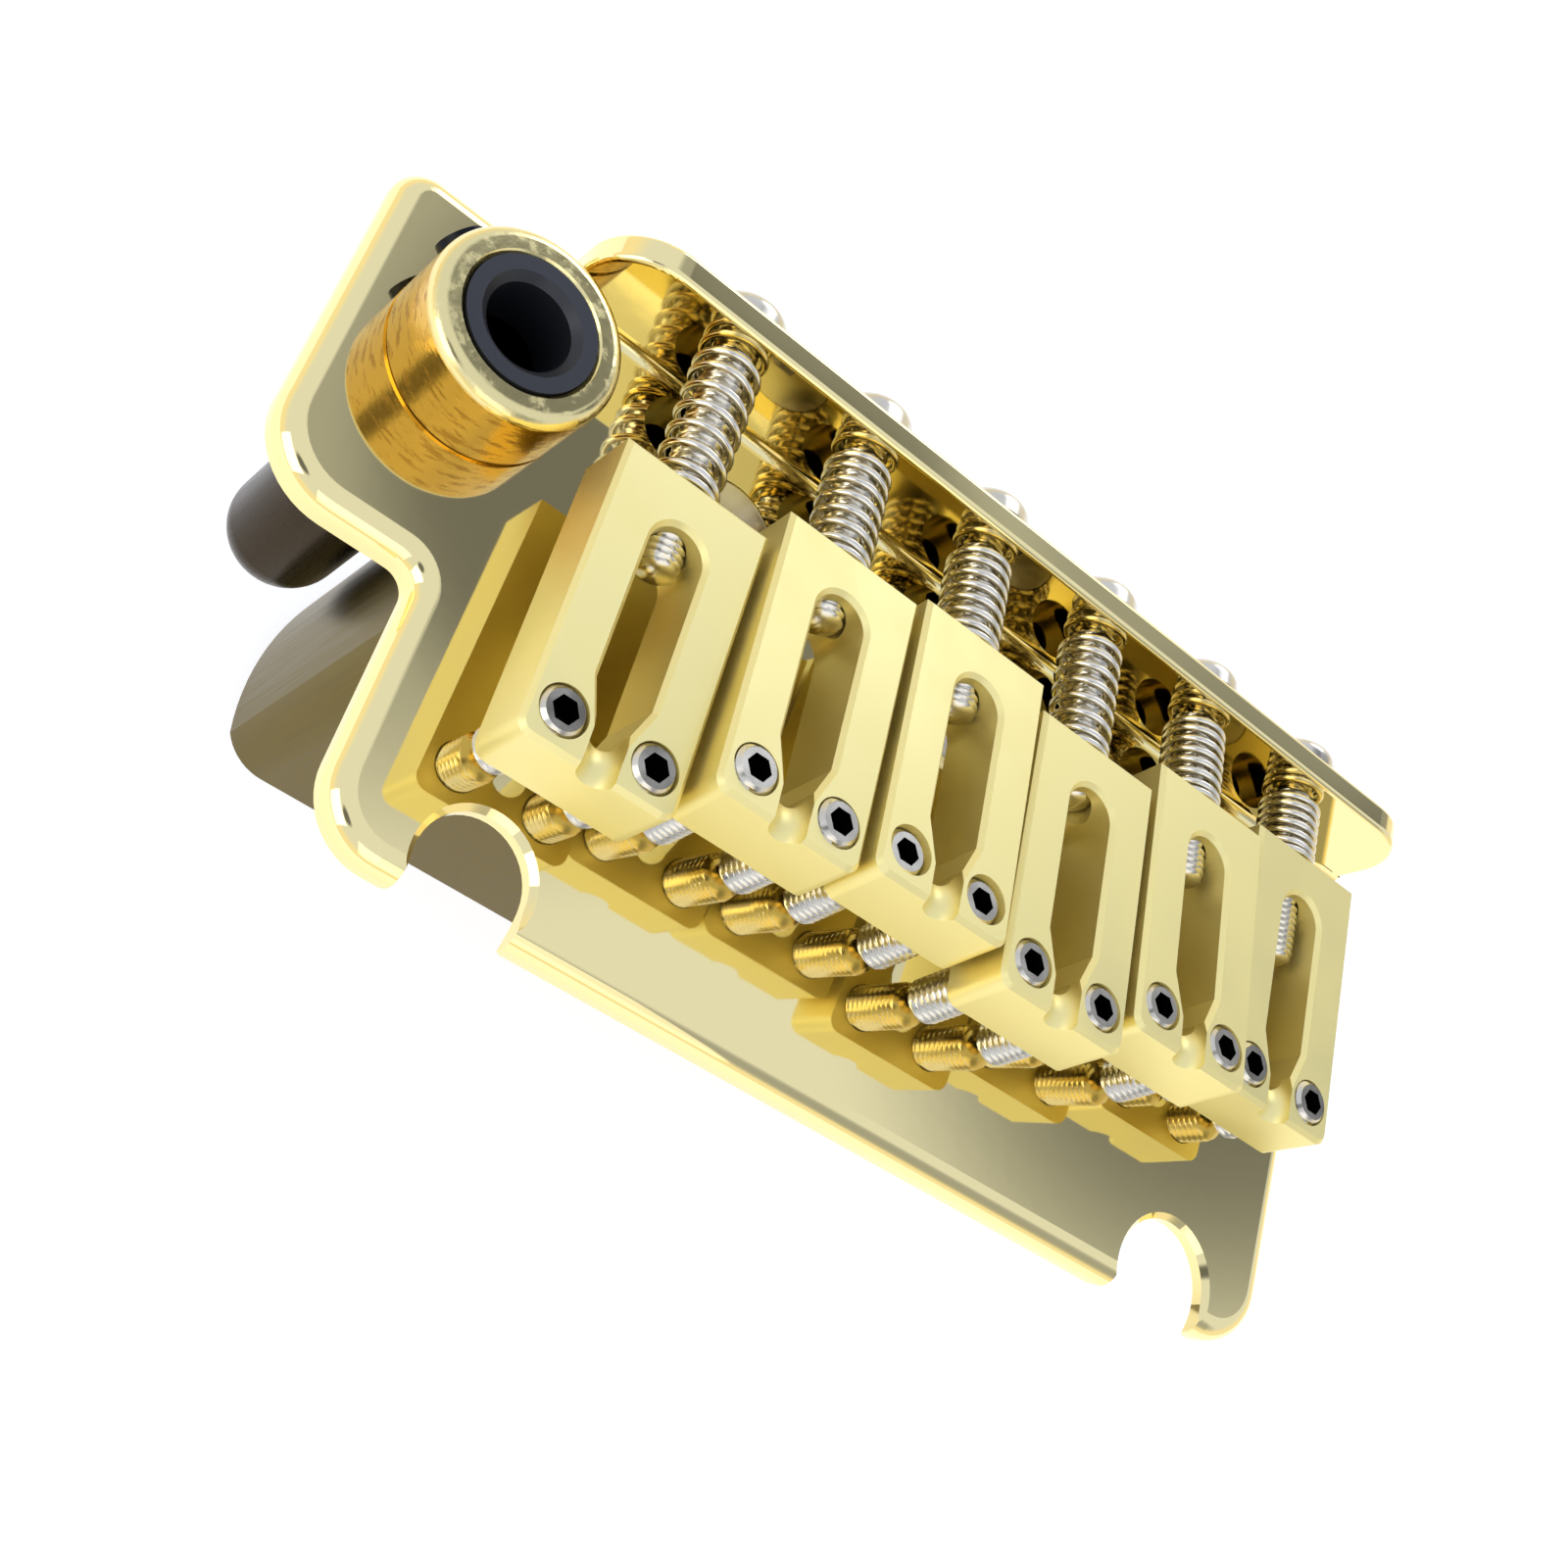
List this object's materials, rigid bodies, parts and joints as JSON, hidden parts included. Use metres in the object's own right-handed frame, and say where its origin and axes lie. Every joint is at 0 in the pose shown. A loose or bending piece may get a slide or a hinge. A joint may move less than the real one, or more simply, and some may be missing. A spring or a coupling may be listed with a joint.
{
  "type": "guitar tremolo bridge",
  "caption": "Two point tremolo bridge for an electric guitar: knife edge base plate, block, adjustable saddles with screws and springs, and an arm socket.",
  "frame": {"origin": "midway between the two pivot stud centres, on the base plate's top face", "axes": "+X from the treble side to the bass side, +Y from the studs towards the upturned flange, +Z away from the guitar's body"},
  "size_m": [0.086, 0.0428, 0.0478],
  "materials": {
    "polished_gold": "mirror polished gold plating",
    "satin_gold": "satin gold plating",
    "brushed_brass": "brushed",
    "turned_gold": "gold plating over turned brass",
    "dark_brass": "darkened, turned",
    "black_nylon": "smooth",
    "black_steel": "black oxide",
    "spring_steel": "bright",
    "screw_steel": "nickel plated"
  },
  "bodies": {
    "bridge": {"base_plate": "polished_gold", "tremolo_block": "brushed_brass", "block_screws": "screw_steel", "arm_tube": "dark_brass", "arm_collar": "turned_gold", "arm_bush": "black_nylon"},
    "set_screw_body": {"arm_set_screw": "black_steel"},
    "pivot_1": {"intonation_spring_1": "spring_steel"},
    "saddle_body_1": {"saddle_1": "satin_gold"},
    "intonation_body_1": {"intonation_screw_1": "screw_steel"},
    "height_treble_1": {"height_screw_treble_1": "screw_steel"},
    "height_bass_1": {"height_screw_bass_1": "screw_steel"},
    "pivot_2": {"intonation_spring_2": "spring_steel"},
    "saddle_body_2": {"saddle_2": "satin_gold"},
    "intonation_body_2": {"intonation_screw_2": "screw_steel"},
    "height_treble_2": {"height_screw_treble_2": "screw_steel"},
    "height_bass_2": {"height_screw_bass_2": "screw_steel"},
    "pivot_3": {"intonation_spring_3": "spring_steel"},
    "saddle_body_3": {"saddle_3": "satin_gold"},
    "intonation_body_3": {"intonation_screw_3": "screw_steel"},
    "height_treble_3": {"height_screw_treble_3": "screw_steel"},
    "height_bass_3": {"height_screw_bass_3": "screw_steel"},
    "pivot_4": {"intonation_spring_4": "spring_steel"},
    "saddle_body_4": {"saddle_4": "satin_gold"},
    "intonation_body_4": {"intonation_screw_4": "screw_steel"},
    "height_treble_4": {"height_screw_treble_4": "screw_steel"},
    "height_bass_4": {"height_screw_bass_4": "screw_steel"},
    "pivot_5": {"intonation_spring_5": "spring_steel"},
    "saddle_body_5": {"saddle_5": "satin_gold"},
    "intonation_body_5": {"intonation_screw_5": "screw_steel"},
    "height_treble_5": {"height_screw_treble_5": "screw_steel"},
    "height_bass_5": {"height_screw_bass_5": "screw_steel"},
    "pivot_6": {"intonation_spring_6": "spring_steel"},
    "saddle_body_6": {"saddle_6": "satin_gold"},
    "intonation_body_6": {"intonation_screw_6": "screw_steel"},
    "height_treble_6": {"height_screw_treble_6": "screw_steel"},
    "height_bass_6": {"height_screw_bass_6": "screw_steel"}
  },
  "joints": [
    {"name": "set_screw_travel", "type": "slide", "parent": "bridge", "child": "set_screw_body", "axis": [-0.7771, 0.6293, 0], "range_m": [-0.0002, 0.0015]},
    {"name": "saddle_height_1", "type": "hinge", "parent": "bridge", "child": "pivot_1", "pos_m": [-0.027, 0.03667, 0.0043], "axis": [-1, 0, 0], "range_deg": [-2, 2]},
    {"name": "intonation_turn_1", "type": "hinge", "parent": "pivot_1", "child": "intonation_body_1", "pos_m": [-0.027, 0.03667, 0.0043], "axis": [0, 0.9991, -0.0436], "range_deg": [-1188, 2376]},
    {"name": "intonation_travel_1", "type": "slide", "parent": "pivot_1", "child": "saddle_body_1", "axis": [0, 0.9991, -0.0436], "range_m": [-0.003, 0.0015], "deforming": ["intonation_spring_1"]},
    {"name": "height_treble_travel_1", "type": "slide", "parent": "saddle_body_1", "child": "height_treble_1", "axis": [0, 0.0436, 0.9991], "range_m": [-0.00104, 0.00104]},
    {"name": "height_bass_travel_1", "type": "slide", "parent": "saddle_body_1", "child": "height_bass_1", "axis": [0, 0.0436, 0.9991], "range_m": [-0.00104, 0.00104]},
    {"name": "saddle_height_2", "type": "hinge", "parent": "bridge", "child": "pivot_2", "pos_m": [-0.0162, 0.03667, 0.0043], "axis": [-1, 0, 0], "range_deg": [-2, 2]},
    {"name": "intonation_turn_2", "type": "hinge", "parent": "pivot_2", "child": "intonation_body_2", "pos_m": [-0.0162, 0.03667, 0.0043], "axis": [0, 0.9936, -0.1131], "range_deg": [-1188, 2376]},
    {"name": "intonation_travel_2", "type": "slide", "parent": "pivot_2", "child": "saddle_body_2", "axis": [0, 0.9936, -0.1131], "range_m": [-0.003, 0.0015], "deforming": ["intonation_spring_2"]},
    {"name": "height_treble_travel_2", "type": "slide", "parent": "saddle_body_2", "child": "height_treble_2", "axis": [0, 0.1131, 0.9936], "range_m": [-0.00097, 0.00097]},
    {"name": "height_bass_travel_2", "type": "slide", "parent": "saddle_body_2", "child": "height_bass_2", "axis": [0, 0.1131, 0.9936], "range_m": [-0.00097, 0.00097]},
    {"name": "saddle_height_3", "type": "hinge", "parent": "bridge", "child": "pivot_3", "pos_m": [-0.0054, 0.03667, 0.0043], "axis": [-1, 0, 0], "range_deg": [-2, 2]},
    {"name": "intonation_turn_3", "type": "hinge", "parent": "pivot_3", "child": "intonation_body_3", "pos_m": [-0.0054, 0.03667, 0.0043], "axis": [0, 0.9907, -0.1364], "range_deg": [-1188, 2376]},
    {"name": "intonation_travel_3", "type": "slide", "parent": "pivot_3", "child": "saddle_body_3", "axis": [0, 0.9907, -0.1364], "range_m": [-0.003, 0.0015], "deforming": ["intonation_spring_3"]},
    {"name": "height_treble_travel_3", "type": "slide", "parent": "saddle_body_3", "child": "height_treble_3", "axis": [0, 0.1364, 0.9907], "range_m": [-0.00095, 0.00095]},
    {"name": "height_bass_travel_3", "type": "slide", "parent": "saddle_body_3", "child": "height_bass_3", "axis": [0, 0.1364, 0.9907], "range_m": [-0.00095, 0.00095]},
    {"name": "saddle_height_4", "type": "hinge", "parent": "bridge", "child": "pivot_4", "pos_m": [0.0054, 0.03667, 0.0043], "axis": [-1, 0, 0], "range_deg": [-2, 2]},
    {"name": "intonation_turn_4", "type": "hinge", "parent": "pivot_4", "child": "intonation_body_4", "pos_m": [0.0054, 0.03667, 0.0043], "axis": [0, 0.9932, -0.1167], "range_deg": [-1188, 2376]},
    {"name": "intonation_travel_4", "type": "slide", "parent": "pivot_4", "child": "saddle_body_4", "axis": [0, 0.9932, -0.1167], "range_m": [-0.003, 0.0015], "deforming": ["intonation_spring_4"]},
    {"name": "height_treble_travel_4", "type": "slide", "parent": "saddle_body_4", "child": "height_treble_4", "axis": [0, 0.1167, 0.9932], "range_m": [-0.001, 0.001]},
    {"name": "height_bass_travel_4", "type": "slide", "parent": "saddle_body_4", "child": "height_bass_4", "axis": [0, 0.1167, 0.9932], "range_m": [-0.001, 0.001]},
    {"name": "saddle_height_5", "type": "hinge", "parent": "bridge", "child": "pivot_5", "pos_m": [0.0162, 0.03667, 0.0043], "axis": [-1, 0, 0], "range_deg": [-2, 2]},
    {"name": "intonation_turn_5", "type": "hinge", "parent": "pivot_5", "child": "intonation_body_5", "pos_m": [0.0162, 0.03667, 0.0043], "axis": [0, 0.9919, -0.127], "range_deg": [-1188, 2376]},
    {"name": "intonation_travel_5", "type": "slide", "parent": "pivot_5", "child": "saddle_body_5", "axis": [0, 0.9919, -0.127], "range_m": [-0.003, 0.0015], "deforming": ["intonation_spring_5"]},
    {"name": "height_treble_travel_5", "type": "slide", "parent": "saddle_body_5", "child": "height_treble_5", "axis": [0, 0.127, 0.9919], "range_m": [-0.00091, 0.00091]},
    {"name": "height_bass_travel_5", "type": "slide", "parent": "saddle_body_5", "child": "height_bass_5", "axis": [0, 0.127, 0.9919], "range_m": [-0.00091, 0.00091]},
    {"name": "saddle_height_6", "type": "hinge", "parent": "bridge", "child": "pivot_6", "pos_m": [0.027, 0.03667, 0.0043], "axis": [-1, 0, 0], "range_deg": [-2, 2]},
    {"name": "intonation_turn_6", "type": "hinge", "parent": "pivot_6", "child": "intonation_body_6", "pos_m": [0.027, 0.03667, 0.0043], "axis": [0, 0.9988, -0.0488], "range_deg": [-792, 2376]},
    {"name": "intonation_travel_6", "type": "slide", "parent": "pivot_6", "child": "saddle_body_6", "axis": [0, 0.9988, -0.0488], "range_m": [-0.003, 0.001], "deforming": ["intonation_spring_6"]},
    {"name": "height_treble_travel_6", "type": "slide", "parent": "saddle_body_6", "child": "height_treble_6", "axis": [0, 0.0488, 0.9988], "range_m": [-0.00085, 0.00085]},
    {"name": "height_bass_travel_6", "type": "slide", "parent": "saddle_body_6", "child": "height_bass_6", "axis": [0, 0.0488, 0.9988], "range_m": [-0.00085, 0.00085]}
  ],
  "couplings": [
    {"joint": "intonation_turn_1", "follows": "intonation_travel_1", "rad_per_m": -12566},
    {"joint": "height_treble_travel_1", "follows": "saddle_height_1", "m_per_rad": -0.02985},
    {"joint": "height_bass_travel_1", "follows": "saddle_height_1", "m_per_rad": -0.02985},
    {"joint": "intonation_turn_2", "follows": "intonation_travel_2", "rad_per_m": -12566},
    {"joint": "height_treble_travel_2", "follows": "saddle_height_2", "m_per_rad": -0.02785},
    {"joint": "height_bass_travel_2", "follows": "saddle_height_2", "m_per_rad": -0.02785},
    {"joint": "intonation_turn_3", "follows": "intonation_travel_3", "rad_per_m": -12566},
    {"joint": "height_treble_travel_3", "follows": "saddle_height_3", "m_per_rad": -0.02715},
    {"joint": "height_bass_travel_3", "follows": "saddle_height_3", "m_per_rad": -0.02715},
    {"joint": "intonation_turn_4", "follows": "intonation_travel_4", "rad_per_m": -12566},
    {"joint": "height_treble_travel_4", "follows": "saddle_height_4", "m_per_rad": -0.02865},
    {"joint": "height_bass_travel_4", "follows": "saddle_height_4", "m_per_rad": -0.02865},
    {"joint": "intonation_turn_5", "follows": "intonation_travel_5", "rad_per_m": -12566},
    {"joint": "height_treble_travel_5", "follows": "saddle_height_5", "m_per_rad": -0.02615},
    {"joint": "height_bass_travel_5", "follows": "saddle_height_5", "m_per_rad": -0.02615},
    {"joint": "intonation_turn_6", "follows": "intonation_travel_6", "rad_per_m": -12566},
    {"joint": "height_treble_travel_6", "follows": "saddle_height_6", "m_per_rad": -0.02435},
    {"joint": "height_bass_travel_6", "follows": "saddle_height_6", "m_per_rad": -0.02435}
  ]
}
